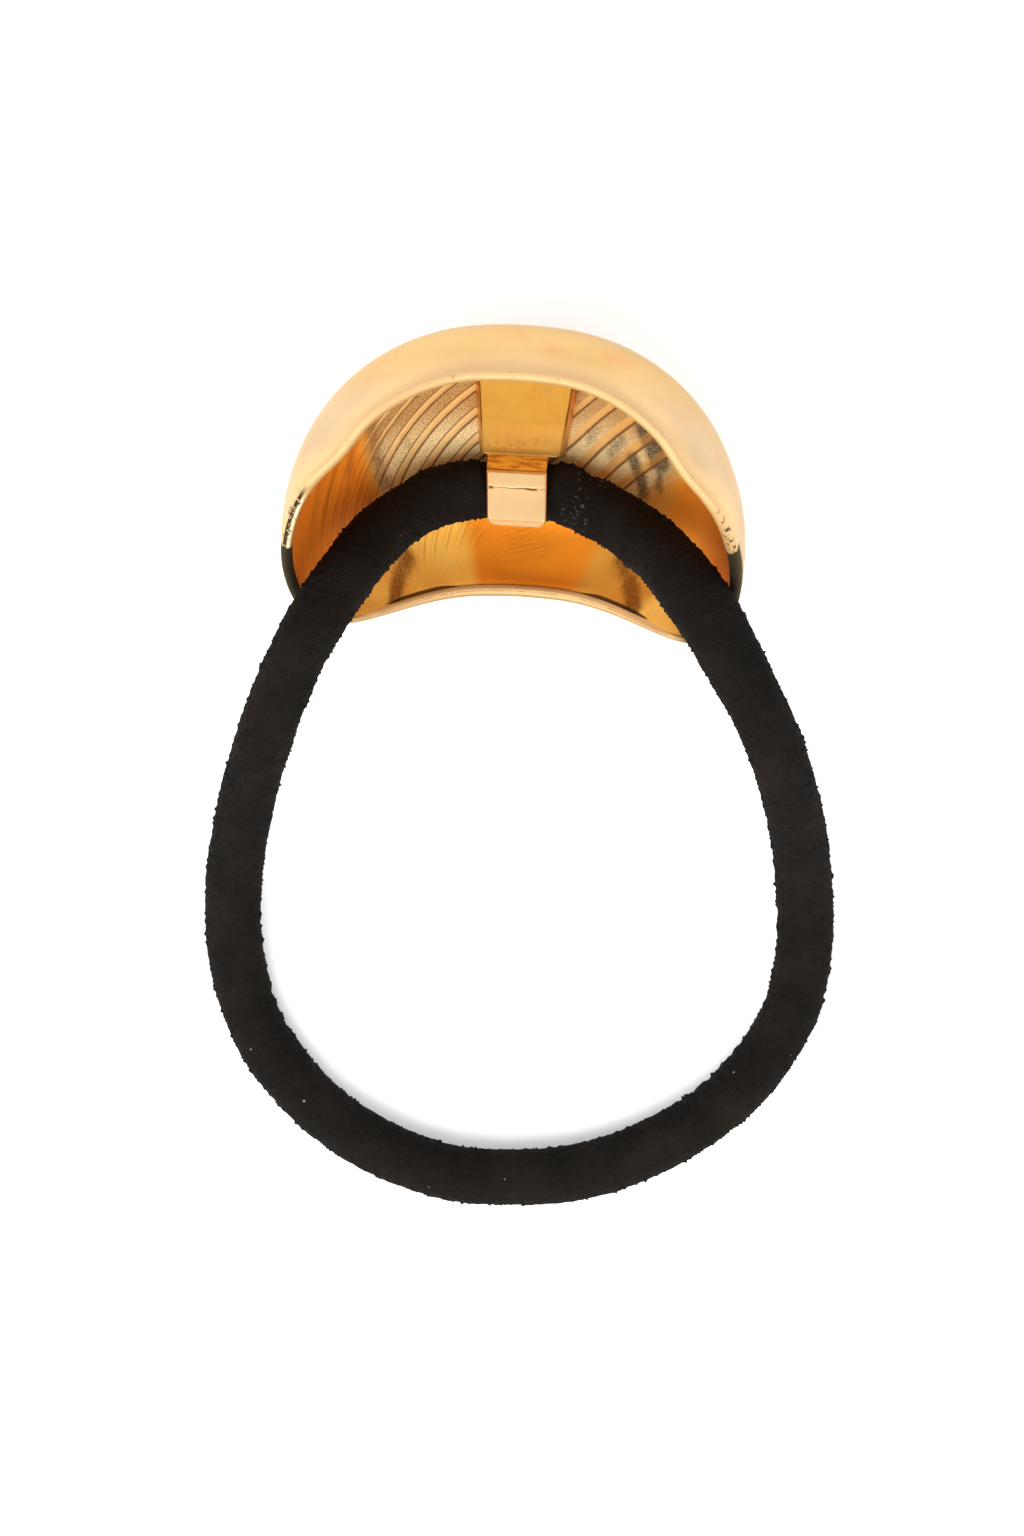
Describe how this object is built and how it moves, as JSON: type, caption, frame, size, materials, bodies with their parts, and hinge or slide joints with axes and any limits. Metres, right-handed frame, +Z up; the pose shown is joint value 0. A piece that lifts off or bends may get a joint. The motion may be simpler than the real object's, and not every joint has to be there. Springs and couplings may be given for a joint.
{
  "type": "hair tie",
  "caption": "Elastic hair tie with a curved gold-toned metal cuff that covers the front of a ponytail, its strap and keeper holding a closed loop of black elastic cord.",
  "frame": {"origin": "on the table, under the middle of the cuff as it lies", "axes": "+Z up from the table, +X along the cuff's width, -Y from the cuff towards the elastic loop"},
  "size_m": [0.0547, 0.0765, 0.0293],
  "materials": {
    "gold_metal": "satin gold tone",
    "black_elastic": "matte knitted cover"
  },
  "bodies": {
    "root": {"cuff": "gold_metal", "elastic_loop": "black_elastic"}
  },
  "joints": []
}
